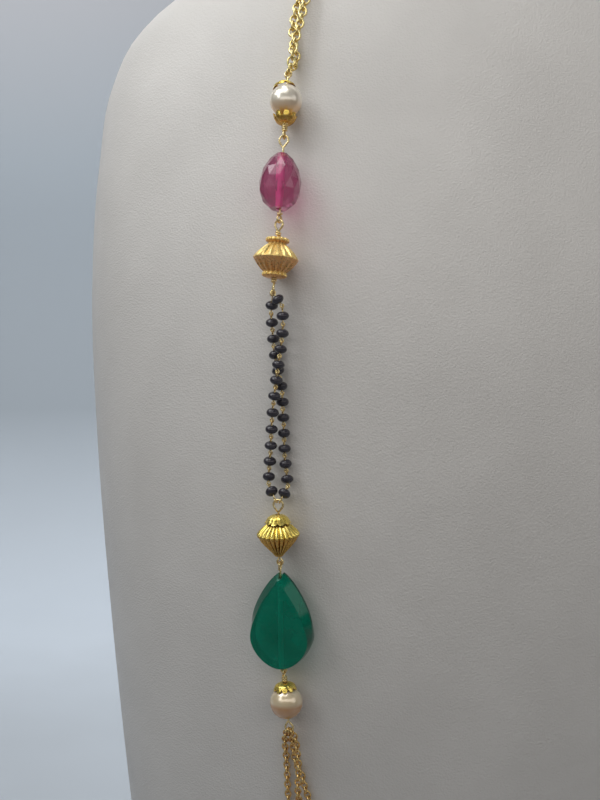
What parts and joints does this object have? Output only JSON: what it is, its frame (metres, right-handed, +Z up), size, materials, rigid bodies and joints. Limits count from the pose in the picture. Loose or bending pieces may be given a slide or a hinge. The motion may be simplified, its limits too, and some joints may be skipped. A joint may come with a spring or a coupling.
{
  "type": "mangalsutra on neck bust",
  "caption": "Long necklace of gold chain, pearls, coloured glass stones and strands of black beads, resting as a closed loop on a plain neck bust.",
  "frame": {"origin": "on the flat base of the bust, below the middle of the neck", "axes": "+Z up, the front of the bust faces -Y, +X to the viewer's right"},
  "size_m": [0.2162, 0.1062, 0.4],
  "materials": {
    "leatherette": "satin",
    "gold_chain": "polished",
    "gold_wire": "polished",
    "gold_bead": "satin",
    "pearl": "gloss",
    "ruby_glass": "gloss",
    "green_glass": "gloss",
    "black_glass": "gloss"
  },
  "bodies": {
    "root": {"bust": "leatherette", "hook": "gold_wire", "lower_chain_long": "gold_chain", "lower_chain_middle": "gold_chain", "lower_chain_short": "gold_chain", "end_ring_left": "gold_wire", "end_ring_right": "gold_wire", "neck_chain_front_left": "gold_chain", "neck_chain_front_right": "gold_chain", "neck_chain_back_left": "gold_chain", "neck_chain_back_right": "gold_chain", "pearl_upper_left": "pearl", "pearl_upper_right": "pearl", "pearl_upper_top_cap_left": "gold_bead", "pearl_upper_top_cap_right": "gold_bead", "pearl_upper_bottom_cap_left": "gold_bead", "pearl_upper_bottom_cap_right": "gold_bead", "pearl_upper_pin_left": "gold_wire", "pearl_upper_pin_right": "gold_wire", "ruby_left": "ruby_glass", "ruby_right": "ruby_glass", "ruby_pin_left": "gold_wire", "ruby_pin_right": "gold_wire", "petal_bead_left": "gold_bead", "petal_bead_right": "gold_bead", "petal_bead_pin_left": "gold_wire", "petal_bead_pin_right": "gold_wire", "black_beads_a_left": "black_glass", "black_beads_a_right": "black_glass", "black_pins_a_left": "gold_wire", "black_pins_a_right": "gold_wire", "black_beads_b_left": "black_glass", "black_beads_b_right": "black_glass", "black_pins_b_left": "gold_wire", "black_pins_b_right": "gold_wire", "ribbed_bead_left": "gold_bead", "ribbed_bead_right": "gold_bead", "ribbed_bead_cap_left": "gold_bead", "ribbed_bead_cap_right": "gold_bead", "ribbed_bead_pin_left": "gold_wire", "ribbed_bead_pin_right": "gold_wire", "green_drop_left": "green_glass", "green_drop_right": "green_glass", "green_drop_pin_left": "gold_wire", "green_drop_pin_right": "gold_wire", "pearl_lower_left": "pearl", "pearl_lower_right": "pearl", "pearl_lower_cap_left": "gold_bead", "pearl_lower_cap_right": "gold_bead", "pearl_lower_pin_left": "gold_wire", "pearl_lower_pin_right": "gold_wire"}
  },
  "joints": []
}
